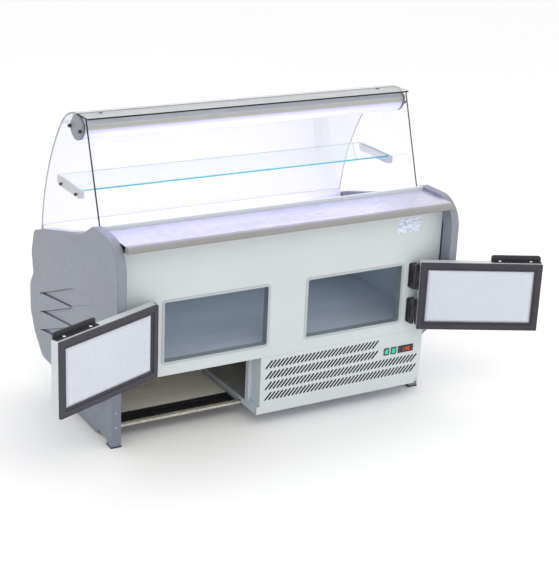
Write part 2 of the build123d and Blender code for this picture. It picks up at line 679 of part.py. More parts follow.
def canopy_caps():
    """Flat shield-shaped caps that clamp the canopy to the side glasses."""
    caps = []
    for sx in (-1, 1):
        x0, x1 = sorted((sx * (GLASS_OUT_X + GAP), sx * (GLASS_OUT_X + 7)))
        cap = along_x(canopy_section(), x0, x1)
        outer = cap.faces().sort_by(Axis.X)[0 if sx < 0 else -1]
        caps.append(chamfer(outer.edges(), 1.0))
    return caps


KNOB_PLACES = ((CANOPY_Y - 51, CANOPY_Z - 3), (CANOPY_Y + 50, CANOPY_Z - 3))
KNOB_L = 11.0


def canopy_knobs():
    knobs = []
    for sx in (-1, 1):
        x = sx * (GLASS_OUT_X + 7)
        for y, z in KNOB_PLACES:
            knob = rod((x, y, z), (x + sx * KNOB_L, y, z), 7.0)
            outer = knob.faces().sort_by(Axis.X)[0 if sx < 0 else -1]
            knobs.append(chamfer(outer.edges(), 1.5))
    return knobs


# ---- shelf ----
BRACKET_X = SIDE_GLASS_X - GAP
BRACKET_REAR_Y = SHELF_REAR_Y - 15.0
BRACKET_L = 233.0
BRACKET_SCREWS = ((BRACKET_REAR_Y + 41.0, SHELF_Z - 17), (BRACKET_REAR_Y + 192.0, SHELF_Z - 17))


def shelf_brackets():
    """Bevelled arms along the side glasses, slotted for the shelf."""
    arms = []
    y0 = BRACKET_REAR_Y
    y1 = BRACKET_REAR_Y + BRACKET_L
    z = SHELF_Z
    for sx in (-1, 1):
        x0, x1 = sorted((sx * (BRACKET_X - 16), sx * BRACKET_X))
        arm = polygon_x([(y0 + 8, z - 28), (y1 - 7, z - 28), (y1, z - 12), (y1, z + 5), (y0, z + 5),
                         (y0, z - 20)], x0, x1)
        arm -= block(-BRACKET_X + 5, BRACKET_X - 5, y0 + 12, y1 + 10, z - GAP, z + GLASS_T + GAP)
        arms.append(arm)
    return arms


def shelf_glass():
    x = BRACKET_X - 6
    return block(-x, x, SHELF_REAR_Y, SHELF_REAR_Y + SHELF_DEPTH, SHELF_Z, SHELF_Z + GLASS_T)


def shelf_screws():
    screws = []
    for sx in (-1, 1):
        for y, z in BRACKET_SCREWS:
            x = sx * (GLASS_OUT_X + GAP)
            screws.append(rod((x, y, z), (x + sx * 4, y, z), 6.0))
    return screws


# ---- refrigeration unit ----
def condenser():
    """Finned condenser behind the grille, with end plates and return bends."""
    y0 = UNIT_REAR_Y + 14.0
    y1 = y0 + 66.0
    x0 = FAN_X - 125.0
    x1 = FAN_X + 125.0
    z0 = BASE_Z + 8.0
    z1 = z0 + 206.0
    coil = block(x0, x1, y0, y1, z0, z1)
    for x in (x0 - 2, x1):
        coil += block(x, x + 2, y0 - 4, y1 + 4, z0 - 4, z1 + 4)
    for i in range(7):
        z = z0 + 18 + i * 28
        coil += block(x0 - 14, x0, y0 + 14, y0 + 52, z - 5, z + 5)
        coil += block(x1, x1 + 14, y0 + 14, y0 + 52, z - 5, z + 5)
    return coil


SHAFT_R = 4.0
SHROUD_Y = UNIT_REAR_Y + 14.0 + 66.0 + 4.0 + 1.0


def fan_unit():
    """Sheet ring round the blades, with the motor on three arms behind them."""
    z0 = BASE_Z + 4.0
    plate = block(FAN_X - 127, FAN_X + 127, SHROUD_Y, SHROUD_Y + 2, z0, z0 + 214)
    ring = rod((FAN_X, SHROUD_Y, FAN_Z), (FAN_X, SHROUD_Y + 40, FAN_Z), FAN_R + 8)
    hole = rod((FAN_X, SHROUD_Y - 1, FAN_Z), (FAN_X, SHROUD_Y + 41, FAN_Z), FAN_R + 5)
    unit = plate + ring - hole
    y = SHROUD_Y + 44
    unit += rod((FAN_X, y, FAN_Z), (FAN_X, y + 58, FAN_Z), 36)
    unit += rod((FAN_X, y - 26, FAN_Z), (FAN_X, y + 1, FAN_Z), SHAFT_R)
    spin = Axis((FAN_X, 0, FAN_Z), (0, 1, 0))
    for i in range(3):
        arm = block(FAN_X - 6, FAN_X + 6, y + 10, y + 14, FAN_Z + 30, FAN_Z + FAN_R + 18)
        arm += block(FAN_X - 6, FAN_X + 6, SHROUD_Y + 1, y + 14, FAN_Z + FAN_R + 14, FAN_Z + FAN_R + 18)
        unit += arm.rotate(spin, i * 120)
    return unit


def fan_blade():
    """Five pitched blades on a hub that turns on the motor's shaft."""
    y = SHROUD_Y + 24
    hub = rod((FAN_X, y - 10, FAN_Z), (FAN_X, y + 14, FAN_Z), 22)
    blade = Box(34, 2.5, FAN_R - 20)
    blade = Pos(0, 0, (FAN_R - 20) / 2 + 18) * Rot(0, 0, 28) * blade
    fan = hub
    for i in range(5):
        fan += Pos(FAN_X, y + 2, FAN_Z) * Rot(0, i * 72, 0) * blade
    fan -= rod((FAN_X, y - 6, FAN_Z), (FAN_X, y + 15, FAN_Z), SHAFT_R + PIN_CLEARANCE)
    return fan


COMPRESSOR_X = 470.0
COMPRESSOR_Y = -80.0
PORT_X = 90.0                           # line ports, from the compressor's centre
PORTS = ((-1, BASE_Z + 110.0), (1, BASE_Z + 100.0))


def compressor():
    """Hermetic compressor: a domed pot on a foot plate with four grommets."""
    x = COMPRESSOR_X
    y = COMPRESSOR_Y
    z = BASE_Z + 2.0
    pot = Pos(x, y, z + 14 + 75) * Cylinder(82, 150)
    pot = fillet(pot.edges(), 34)
    foot = block(x - 100, x + 100, y - 70, y + 70, z + 10, z + 14)
    unit = pot + foot
    for dx in (-88, 88):
        for dy in (-58, 58):
            unit += rod((x + dx, y + dy, z), (x + dx, y + dy, z + 12), 10)
    unit += block(x - 30, x + 30, y - 96, y - 70, z + 60, z + 120)
    for sx, port_z in PORTS:
        unit += rod((x + sx * 70, y, port_z), (x + sx * PORT_X, y, port_z), 6.0)
    return unit


def receiver_drier():
    """Copper drier on the liquid line, on a saddle."""
    x = COMPRESSOR_X + 60
    body = rod((x - 70, 60, BASE_Z + 50), (x + 50, 60, BASE_Z + 50), 14)
    tip = rod((x + 50, 60, BASE_Z + 50), (x + 75, 60, BASE_Z + 50), 5)
    tail = rod((x - 95, 60, BASE_Z + 50), (x - 70, 60, BASE_Z + 50), 5)
    saddle = block(x - 20, x - 8, 52, 68, BASE_Z + 2, BASE_Z + 42)
    return body + tip + tail + saddle


def refrigerant_lines():
    """Copper discharge and suction lines, and the drier."""
    x = COMPRESSOR_X
    y = COMPRESSOR_Y
    r = 4.0
    (out, out_z), (back, back_z) = PORTS
    high_z = out_z + 90.0
    turn_x = PORT_X + 40.0
    cond_x = FAN_X + 125 + 14
    cond_y = UNIT_REAR_Y + 14 + 33
    roof_z = BODY_BOTTOM_Z - 12.0
    discharge = FilletPolyline((x + out * PORT_X, y, out_z), (x - turn_x, y, out_z), (x - turn_x, y, high_z),
                               (x - turn_x, cond_y, high_z), (cond_x, cond_y, high_z), radius=18)
    suction = FilletPolyline((x + back * PORT_X, y, back_z), (x + turn_x, y, back_z), (x + turn_x, y, roof_z),
                             (x + 20, y, roof_z), radius=18)
    lines = []
    for path in (discharge, suction):
        section = Plane(origin=path @ 0, z_dir=path % 0) * Circle(r)
        lines.append(sweep(section, path=path))
    return lines + [receiver_drier()]


# ---- controls ----
def switch_bezels():
    """Frames of the two rocker switches, with their bodies behind the panel."""
    frames = []
    for x in ROCKER_X:
        flange = block(x - ROCKER_W / 2 - 2, x + ROCKER_W / 2 + 2, REAR_Y - 2, REAR_Y,
                       CONTROL_Z - ROCKER_H / 2 - 2, CONTROL_Z + ROCKER_H / 2 + 2)
        body = block(x - ROCKER_W / 2, x + ROCKER_W / 2, REAR_Y - 2, REAR_Y + 28,
                     CONTROL_Z - ROCKER_H / 2, CONTROL_Z + ROCKER_H / 2)
        well = block(x - ROCKER_W / 2 + 2, x + ROCKER_W / 2 - 2, REAR_Y - 3, REAR_Y + 14,
                     CONTROL_Z - ROCKER_H / 2 + 2, CONTROL_Z + ROCKER_H / 2 - 2)
        frames.append(flange + body - well)
    return frames


def rocker(x):
    """Rocker cap: two flat faces in a shallow V, with its pivot at the middle."""
    half = ROCKER_H / 2 - 2.8
    w = ROCKER_W / 2 - 2.6
    y = REAR_Y
    section = [(y - 4.0, CONTROL_Z + half), (y - 1.0, CONTROL_Z), (y - 1.8, CONTROL_Z - half),
               (y + 5.0, CONTROL_Z - half + 1.0), (y + 8.0, CONTROL_Z), (y + 5.0, CONTROL_Z + half - 1.0)]
    return polygon_x(section, x - w, x + w)


def thermostat():
    """Digital thermostat: bezel on the panel and a case behind it."""
    w = THERMOSTAT_W / 2
    h = THERMOSTAT_H / 2
    bezel = block(THERMOSTAT_X - w, THERMOSTAT_X + w, REAR_Y - 3, REAR_Y, CONTROL_Z - h, CONTROL_Z + h)
    bezel = chamfer(bezel.faces().sort_by(Axis.Y)[0].edges(), 1.0)
    case = block(THERMOSTAT_X - w + 3, THERMOSTAT_X + w - 3, REAR_Y - 2, REAR_Y + 56,
                 CONTROL_Z - h + 3, CONTROL_Z + h - 3)
    body = bezel + case
    for x, z in button_places():
        body -= rod((x, REAR_Y - 4, z), (x, REAR_Y + 4, z), BUTTON_R + 0.25)
    return body


BUTTON_NAMES = ("set", "up", "light", "down")


def button_places():
    """Two buttons either side of the display."""
    dx = THERMOSTAT_W / 2 - 6.5
    dz = 6.0
    return [(THERMOSTAT_X - dx, CONTROL_Z + dz), (THERMOSTAT_X + dx, CONTROL_Z + dz),
            (THERMOSTAT_X - dx, CONTROL_Z - dz), (THERMOSTAT_X + dx, CONTROL_Z - dz)]


def thermostat_button(place):
    x, z = place
    return rod((x, REAR_Y - 4.2, z), (x, REAR_Y + 2.0, z), BUTTON_R)


# ---- service doors, drawn shut, then turned open about their pins ----
KNUCKLE_R = 8.0
KNUCKLE_END_H = 24.0
HINGE_BOTTOMS = (DOOR_BOTTOM_Z + 17.0, DOOR_BOTTOM_Z + DOOR_H - 17.0 - HINGE_H)
DOOR_X0 = -HINGE_X + HINGE_EDGE         # hinge edge of the left door
DOOR_Y1 = REAR_Y - 1.6 - GAP            # gasket face against the trim
DOOR_Y0 = DOOR_Y1 - GASKET_T - DOOR_SHELL_T


def swing_open(shape, degrees):
    """Turn a piece of the left door from shut to open."""
    return shape.rotate(Axis((-HINGE_X, HINGE_Y, 0), (0, 0, 1)), -degrees)


def door_shell():
    """Foamed outer shell of the left door."""
    z0 = DOOR_BOTTOM_Z
    shell = block(DOOR_X0, DOOR_X0 + DOOR_W, DOOR_Y0, DOOR_Y1 - GASKET_T, z0, z0 + DOOR_H)
    shell = fillet(shell.edges().filter_by(Axis.Y), 5.0)
    return fillet(shell.faces().sort_by(Axis.Y)[0].edges(), 3.0)


def door_gasket():
    """Magnetic gasket: a soft frame with a groove round its face."""
    x = DOOR_X0 + DOOR_W / 2
    z = DOOR_BOTTOM_Z + DOOR_H / 2
    y0 = DOOR_Y1 - GASKET_T
    ring = slab_y(DOOR_W - 2, DOOR_H - 2, 4.0, x, z, y0, DOOR_Y1)
    ring -= slab_y(DOOR_W - 2 * GASKET_W, DOOR_H - 2 * GASKET_W, 1.0, x, z, y0 - 1, DOOR_Y1 + 1)
    inner_w, inner_h = DOOR_W - 2 * GASKET_W + 20, DOOR_H - 2 * GASKET_W + 20
    return ring - slab_y(inner_w, inner_h, 1.5, x, z, DOOR_Y1 - 4.0, DOOR_Y1 + 1)


LINER_BEVEL_DEG = 58.0


def door_liner():
    """Raised inner face of the door, with a wide bevel round it."""
    x = DOOR_X0 + DOOR_W / 2
    z = DOOR_BOTTOM_Z + DOOR_H / 2
    plane = Plane(origin=(x, DOOR_Y1 - GASKET_T, z), x_dir=(1, 0, 0), z_dir=(0, 1, 0))
    pad = Rectangle(DOOR_W - 2 * GASKET_W - 1, DOOR_H - 2 * GASKET_W - 1)
    return extrude(plane * pad, amount=6.5, taper=LINER_BEVEL_DEG)


def door_handle():
    """Angle pull along the top edge, near the free end."""
    z = DOOR_BOTTOM_Z + DOOR_H
    x1 = DOOR_X0 + DOOR_W - 4.0
    x0 = x1 - HANDLE_L
    flange = block(x0, x1, DOOR_Y0 + 3.0, DOOR_Y0 + 27.0, z, z + 3.5)
    lip = block(x0, x1, DOOR_Y0 + 3.0, DOOR_Y0 + 8.0, z, z + 26.0)
    lip = fillet(lip.edges().filter_by(Axis.Y).group_by(Axis.Z)[-1], 11.0)
    return flange + lip


def hinge_door_leaves():
    """Door halves of the hinges: a plate on the door's edge and one middle knuckle."""
    leaves = []
    for z in HINGE_BOTTOMS:
        plate = block(DOOR_X0 - 5.0, DOOR_X0, HINGE_Y - 15.0, HINGE_Y + 13.0, z, z + HINGE_H)
        z0 = z + KNUCKLE_END_H + GAP
        z1 = z + HINGE_H - KNUCKLE_END_H - GAP
        knuckle = rod((-HINGE_X, HINGE_Y, z0), (-HINGE_X, HINGE_Y, z1), KNUCKLE_R)
        arm = block(-HINGE_X, DOOR_X0 - 4.0, HINGE_Y - 6.0, HINGE_Y + 6.0, z0, z1)
        leaf = plate + knuckle + arm
        leaf -= rod((-HINGE_X, HINGE_Y, z0 - 1), (-HINGE_X, HINGE_Y, z1 + 1), HINGE_PIN_R + PIN_CLEARANCE)
        leaves.append(leaf)
    return leaves


def hinge_body_leaves():
    """Panel halves of the left door's hinges: a base plate, webs and two end knuckles."""
    leaves = []
    x = -HINGE_X
    face = REAR_Y - HINGE_PAD_T
    for z in HINGE_BOTTOMS:
        base = block(x - 22.0, x + 14.0, face - 5.0, face, z, z + HINGE_H)
        leaf = chamfer(base.edges().filter_by(Axis.Y), 5.0)
        leaf += block(x - 8.0, x + 8.0, HINGE_Y + KNUCKLE_R + 0.6, face - 4.0, z + 1.0, z + HINGE_H - 1.0)
        for z0 in (z, z + HINGE_H - KNUCKLE_END_H):
            leaf += rod((x, HINGE_Y, z0), (x, HINGE_Y, z0 + KNUCKLE_END_H), KNUCKLE_R)
            leaf += block(x - 8.0, x + 8.0, HINGE_Y, face - 4.0, z0, z0 + KNUCKLE_END_H)
        leaf -= rod((x, HINGE_Y, z - 1), (x, HINGE_Y, z + HINGE_H + 1), HINGE_PIN_R)
        leaves.append(leaf)
    return leaves


def hinge_pins():
    pins = []
    for z in HINGE_BOTTOMS:
        pins.append(rod((-HINGE_X, HINGE_Y, z), (-HINGE_X, HINGE_Y, z + HINGE_H), HINGE_PIN_R))
    return pins


def cable_gland():
    """Gland in the compartment pan, where the supply lead would enter."""
    x = UNIT_RIGHT_X - 40.0
    y = UNIT_FRONT_Y
    z = BASE_Z + 14.0
    gland = rod((x, y, z), (x, y + 8, z), 9.0)
    return gland - rod((x, y - 1, z), (x, y + 9, z), 4.5)


def both(shape):
    """The shape on the left and its mirror image on the right."""
    pieces = shape if isinstance(shape, list) else [shape]
    return pieces + [mirror_x(piece) for piece in pieces]


def save_body():
    save("side_panel_left", end_panel_left())
    save("side_panel_right", mirror_x(end_panel_left()))
    save("leg_frames", both(leg_frame_left()))
    for build in (foot_pads, base_rails, base_tray, kick_plate, unit_frame, rear_panel,
                  grille_panel, foam_insulation, chamber_liner, opening_trims, front_panel,
                  fascia_panel, bumper_profile, worktop, nose_profile, upstand_rail, duct_panel,
                  deck_trays, support_rails, evaporator, cable_gland):
        save(build.__name__, build())


def save_glazing():
    save("side_glasses", both(side_glass_left()))
    for build in (front_glass, glass_rail, top_glass, canopy_profile, lamp_lens,
                  canopy_caps, canopy_knobs, shelf_brackets, shelf_glass, shelf_screws):
        save(build.__name__, build())


def save_unit():
    for build in (condenser, fan_unit, fan_blade, compressor, refrigerant_lines, switch_bezels,
                  thermostat):
        save(build.__name__, build())
    save("rocker_left", rocker(ROCKER_X[0]))
    save("rocker_right", rocker(ROCKER_X[1]))
    for name, place in zip(BUTTON_NAMES, button_places()):
        save(f"button_{name}", thermostat_button(place))


def save_doors():
    save("hinge_body_leaves", both(hinge_body_leaves()))
    save("hinge_pins", both(hinge_pins()))
    for build in (door_shell, door_gasket, door_liner, door_handle, hinge_door_leaves):
        shape = build()
        pieces = shape if isinstance(shape, list) else [shape]
        save(f"{build.__name__}_left", [swing_open(piece, DOOR_OPEN_LEFT) for piece in pieces])
        save(f"{build.__name__}_right", [mirror_x(swing_open(piece, DOOR_OPEN_RIGHT)) for piece in pieces])


def main():
    os.makedirs("parts", exist_ok=True)
    save_body()
    save_glazing()
    save_unit()
    save_doors()


main()
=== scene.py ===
import json
import math

import bmesh
import bpy
from mathutils import Matrix, Vector


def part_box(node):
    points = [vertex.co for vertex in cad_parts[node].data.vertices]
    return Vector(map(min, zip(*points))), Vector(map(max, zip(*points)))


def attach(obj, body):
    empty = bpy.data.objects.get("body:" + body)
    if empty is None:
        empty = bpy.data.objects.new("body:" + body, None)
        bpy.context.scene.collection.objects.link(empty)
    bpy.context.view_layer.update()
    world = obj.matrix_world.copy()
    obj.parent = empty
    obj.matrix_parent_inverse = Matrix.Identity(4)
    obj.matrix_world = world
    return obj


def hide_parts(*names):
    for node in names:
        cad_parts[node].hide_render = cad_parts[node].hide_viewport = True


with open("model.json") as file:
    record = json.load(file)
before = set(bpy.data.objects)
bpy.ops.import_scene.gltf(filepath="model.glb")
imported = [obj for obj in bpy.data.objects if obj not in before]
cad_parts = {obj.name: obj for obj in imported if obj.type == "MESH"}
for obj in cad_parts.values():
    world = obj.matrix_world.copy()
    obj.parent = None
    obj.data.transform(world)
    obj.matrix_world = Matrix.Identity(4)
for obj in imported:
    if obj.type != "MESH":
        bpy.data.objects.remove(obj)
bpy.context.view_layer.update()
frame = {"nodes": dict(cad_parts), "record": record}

# ---- sizes shared with the CAD model, in metres ----
REAR_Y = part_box("rear_panel")[1].y - 0.0015     # outer face of the rear panel
BASE_Y = REAR_Y + 0.371                         # middle of the base
HINGE = Vector((0.5765, REAR_Y - 0.028))
DOOR_OPEN = {-1: math.radians(157), 1: math.radians(154)}
DOOR_X = (0.0595, 0.5595)       # free edge and hinge edge of a shut door, from the middle
DOOR_Z = (0.332, 0.620)
GASKET_Y = REAR_Y - 0.0019      # gasket face of a shut door
CONTROL_Z = 0.227


# ================= node materials =================
class Look:
    """One procedural material: a Principled shader and short calls for the textures behind it."""

    def __init__(self, name, metallic=0.0, roughness=0.5, **fixed):
        self.mat = bpy.data.materials.new(name)
        self.mat.use_nodes = True
        self.tree = self.mat.node_tree
        self.tree.nodes.clear()
        self.out = self.add("ShaderNodeOutputMaterial")
        self.bsdf = self.add("ShaderNodeBsdfPrincipled")
        self.link(self.bsdf.outputs[0], self.out.inputs[0])
        self.set("Metallic", metallic)
        self.set("Roughness", roughness)
        for key, value in fixed.items():
            self.set(key.replace("_", " "), value)
        self.coord = self.add("ShaderNodeTexCoord")

    def add(self, kind, **settings):
        node = self.tree.nodes.new(kind)
        for key, value in settings.items():
            setattr(node, key, value)
        return node

    def link(self, a, b):
        self.tree.links.new(a, b)

    def set(self, socket, value):
        self.bsdf.inputs[socket].default_value = value

    def space(self, stretch=(1, 1, 1), turn=(0, 0, 0)):
        m = self.add("ShaderNodeMapping")
        m.inputs["Scale"].default_value = stretch
        m.inputs["Rotation"].default_value = turn
        self.link(self.coord.outputs["Object"], m.inputs["Vector"])
        return m.outputs[0]

    def noise(self, scale, detail=3.0, rough=0.5, stretch=(1, 1, 1), warp=0.0):
        n = self.add("ShaderNodeTexNoise")
        n.inputs["Scale"].default_value = scale
        n.inputs["Detail"].default_value = detail
        n.inputs["Roughness"].default_value = rough
        n.inputs["Distortion"].default_value = warp
        self.link(self.space(stretch), n.inputs["Vector"])
        return n.outputs[0]

    def cells(self, scale, stretch=(1, 1, 1), feature="F1"):
        v = self.add("ShaderNodeTexVoronoi", feature=feature)
        v.inputs["Scale"].default_value = scale
        self.link(self.space(stretch), v.inputs["Vector"])
        return v.outputs["Distance"]

    def ramp(self, value, stops):
        r = self.add("ShaderNodeValToRGB")
        while len(r.color_ramp.elements) < len(stops):
            r.color_ramp.elements.new(0.5)
        for element, (at, colour) in zip(r.color_ramp.elements, stops):
            element.position = at
            element.color = (*colour, 1) if len(colour) == 3 else colour
        self.link(value, r.inputs[0])
        return r.outputs[0]

    def math(self, op, a, b=0.0, clamp=False):
        m = self.add("ShaderNodeMath", operation=op, use_clamp=clamp)
        for socket, value in zip(m.inputs, (a, b)):
            if isinstance(value, (int, float)):
                socket.default_value = value
            else:
                self.link(value, socket)
        return m.outputs[0]

    def span(self, value, low, high, start=0.0, end=1.0):
        m = self.add("ShaderNodeMapRange")
        for key, v in zip(("From Min", "From Max", "To Min", "To Max"), (start, end, low, high)):
            m.inputs[key].default_value = v
        self.link(value, m.inputs["Value"])
        return m.outputs[0]

    def mix(self, factor, a, b, how="MIX"):
        m = self.add("ShaderNodeMix", data_type="RGBA", blend_type=how)
        for socket, value in ((m.inputs[0], factor), (m.inputs[6], a), (m.inputs[7], b)):
            if isinstance(value, (int, float)):
                socket.default_value = value
            elif isinstance(value, tuple):
                socket.default_value = (*value, 1)
            else:
                self.link(value, socket)
        return m.outputs[2]

    def colour(self, socket):
        self.link(socket, self.bsdf.inputs["Base Color"])

    def rough(self, socket):
        self.link(socket, self.bsdf.inputs["Roughness"])

    def bump(self, height, distance, strength=0.5):
        b = self.add("ShaderNodeBump")
        b.inputs["Strength"].default_value = strength
        b.inputs["Distance"].default_value = distance
        self.link(height, b.inputs["Height"])
        self.link(b.outputs[0], self.bsdf.inputs["Normal"])

    def part(self, axis):
        """One component of the piece's own position."""
        s = self.add("ShaderNodeSeparateXYZ")
        self.link(self.coord.outputs["Object"], s.inputs[0])
        return s.outputs["XYZ".index(axis)]

    def facing(self, axis):
        """One component of the piece's own normal, without its sign."""
        s = self.add("ShaderNodeSeparateXYZ")
        self.link(self.coord.outputs["Normal"], s.inputs[0])
        return self.math("ABSOLUTE", s.outputs["XYZ".index(axis)])


def shade(colour, k):
    return tuple(min(1.0, c * k) for c in colour)


def painted(name, colour, rough=0.34, peel=0.35, darken_low=0.12):
    """Powder-coated sheet: orange peel, faint smudges and slight darkening low down."""
    look = Look(name, 0.0, rough, Specular_IOR_Level=0.5, Coat_Weight=0.15, Coat_Roughness=0.2)
    broad = look.noise(2.2, 4.0, 0.55)
    smudge = look.noise(9.0, 5.0, 0.6, (1, 1, 2.4), 0.6)
    base = look.ramp(broad, [(0.3, shade(colour, 0.965)), (0.7, shade(colour, 1.02))])
    # the colour darkens towards the bottom of the piece, below 0.28 m, by the last argument
    low = look.span(look.part("Z"), 1.0, 0.0, 0.0, 0.28)
    low_darkening = look.math("MULTIPLY", look.math("MULTIPLY", low, smudge), darken_low, True)
    look.colour(look.mix(low_darkening, base, shade(colour, 0.55)))
    look.rough(look.span(smudge, rough - 0.06, rough + 0.09, 0.3, 0.7))
    look.bump(look.noise(420.0, 2.0, 0.5), 0.0002, peel)
    return look.mat


def moulded(name, colour, rough=0.45, grain=950.0, depth=0.0002, strength=0.35, spread=0.05):
    """Moulded plastic with a spark-eroded grain and slight mottling."""
    look = Look(name, 0.0, rough, Specular_IOR_Level=0.5)
    mottle = look.noise(5.0, 5.0, 0.6)
    speck = look.noise(260.0, 2.0, 0.5)
    base = look.ramp(mottle, [(0.3, shade(colour, 1 - spread)), (0.72, shade(colour, 1 + spread))])
    look.colour(look.mix(look.span(speck, 0.0, 0.16, 0.45, 0.75), base, shade(colour, 0.8)))
    look.rough(look.span(look.noise(36.0, 4.0, 0.6), rough - 0.07, rough + 0.08, 0.3, 0.7))
    look.bump(look.cells(grain), depth, strength)
    return look.mat


def brushed(name, colour, rough=0.3, along="X", line=0.0001, metal=1.0, wiped=0.1):
    """Rolled or brushed sheet: long fine lines along one axis, with cloudy wipe marks."""
    look = Look(name, metal, rough, Anisotropic=0.35)
    stretch = tuple(0.012 if axis == along else 1.0 for axis in "XYZ")
    lines = look.noise(1500.0, 2.0, 0.6, stretch)
    wide = look.noise(240.0, 3.0, 0.6, stretch)
    wipe = look.noise(5.0, 5.0, 0.6, (0.6, 1.6, 1.6), 0.8)
    tone = look.ramp(wide, [(0.3, shade(colour, 0.9)), (0.7, shade(colour, 1.07))])
    look.colour(look.mix(look.span(lines, 0.0, 0.3, 0.35, 0.7), tone, shade(colour, 0.82)))
    cloud = look.span(wipe, rough - wiped / 2, rough + wiped, 0.3, 0.7)
    look.rough(look.math("ADD", look.span(lines, -0.04, 0.06, 0.3, 0.7), cloud))
    look.bump(lines, line, 0.25)
    return look.mat


def galvanised(name, colour):
    """Zinc spangle: angular patches of slightly different tone."""
    look = Look(name, 0.85, 0.42)
    v = look.add("ShaderNodeTexVoronoi")
    v.inputs["Scale"].default_value = 110.0
    look.link(look.space(), v.inputs["Vector"])
    patch = look.span(v.outputs["Color"], 0.0, 1.0)
    haze = look.noise(14.0, 4.0, 0.6)
    base = look.ramp(patch, [(0.2, shade(colour, 0.8)), (0.55, colour), (0.85, shade(colour, 1.12))])
    look.colour(look.mix(look.span(haze, 0.0, 0.35, 0.45, 0.75), base, shade(colour, 0.78)))
    look.rough(look.span(patch, 0.34, 0.55))
    look.bump(haze, 0.0004, 0.2)
    return look.mat


def rubber(name, colour, rough=0.7):
    look = Look(name, 0.0, rough, Specular_IOR_Level=0.35, Sheen_Weight=0.15, Sheen_Roughness=0.5)
    bloom = look.noise(18.0, 5.0, 0.65)
    base = look.ramp(bloom, [(0.3, shade(colour, 0.85)), (0.75, shade(colour, 1.25))])
    look.colour(base)
    look.rough(look.span(bloom, rough - 0.1, rough + 0.1, 0.3, 0.7))
    look.bump(look.noise(1300.0, 2.0, 0.5), 0.0001, 0.4)
    return look.mat


def glass(name, face_axes, edge, tint=(0.985, 0.995, 0.992)):
    """Tempered glass: clear through its faces and dark green where the cut edge shows."""
    look = Look(name, 0.0, 0.0, IOR=1.46)
    flat = None
    for axis in face_axes:
        facing = look.facing(axis)
        flat = facing if flat is None else look.math("MAXIMUM", flat, facing)
    side = look.span(flat, 1.0, 0.0, 0.55, 0.75)
    ripple = look.noise(900.0, 2.0, 0.5, (1, 1, 0.03))
    rim = look.mix(look.span(ripple, 0.0, 0.5, 0.35, 0.7), edge, shade(edge, 1.7))
    look.colour(look.mix(side, tint, rim))
    look.link(look.span(side, 1.0, 0.0), look.bsdf.inputs["Transmission Weight"])
    haze = look.noise(7.0, 5.0, 0.6)
    look.rough(look.math("ADD", look.span(haze, 0.0, 0.012, 0.45, 0.8), look.math("MULTIPLY", side, 0.14)))
    return look.mat


def banded(look, axis, stops, low, high):
    """Colour steps along one axis of the piece, in metres."""
    at = look.span(look.part(axis), 0.0, 1.0, low, high)
    ramp = look.ramp(at, stops)
    ramp.node.color_ramp.interpolation = "CONSTANT"
    return ramp


def trim_look():
    """Extruded trim: a light flange on the panel and a sleeve going in, painted darker as shade in the
    recess.
    """
    look = Look("trim_plastic", 0.0, 0.38)
    # painted shade: the band behind the panel face is darkened where the trim goes into the recess
    tone = banded(look, "Y", [(0.0, (0.44, 0.48, 0.50)), (0.5, (0.16, 0.185, 0.20))],
                  REAR_Y - 0.005, REAR_Y + 0.006)
    cloud = look.noise(14.0, 4.0, 0.6)
    look.colour(look.mix(look.span(cloud, 0.0, 0.25, 0.4, 0.75), tone, (0.3, 0.33, 0.35)))
    look.rough(look.span(cloud, 0.3, 0.46, 0.3, 0.7))
    look.bump(look.cells(1200.0), 0.0001, 0.2)
    return look.mat


def tray_look():
    """Tray with the grey storage plate standing in it; the tray's near-black colour is painted shade under
    the base.
    """
    look = Look("base_tray", 0.0, 0.45)
    # near-black on either side of the plate: painted shade under the base
    tone = banded(look, "Y", [(0.0, (0.012, 0.014, 0.018)), (0.148, (0.92, 0.92, 0.93)),
                              (0.837, (0.012, 0.014, 0.018))], BASE_Y - 0.2, BASE_Y + 0.192)
    scuff = look.noise(24.0, 5.0, 0.65, (0.3, 1, 1), 0.4)
    look.colour(look.mix(look.span(scuff, 0.0, 0.35, 0.5, 0.8), tone, (0.12, 0.12, 0.12)))
    look.rough(look.span(scuff, 0.36, 0.6, 0.3, 0.7))
    look.bump(look.noise(500.0, 2.0, 0.5), 0.0002, 0.4)
    return look.mat


def canopy_look():
    """Anodised housing: dark seam over the lens, beige-grey face and a cooler top."""
    look = Look("canopy_profile", 0.2, 0.38)
    low, high = (corner.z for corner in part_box("canopy_profile"))
    seam, face, top = (0.12, 0.11, 0.16), (0.47, 0.47, 0.44), (0.42, 0.44, 0.49)
    tone = banded(look, "Z", [(0.0, seam), (0.16, face), (0.72, top)], low, high)
    lines = look.noise(1200.0, 2.0, 0.6, (0.012, 1, 1))
    look.colour(look.mix(look.span(lines, 0.0, 0.25, 0.35, 0.7), tone, (0.3, 0.3, 0.32)))
    look.rough(look.span(look.noise(9.0, 4.0, 0.6), 0.3, 0.46, 0.3, 0.7))
    look.bump(lines, 0.00008, 0.25)
    return look.mat


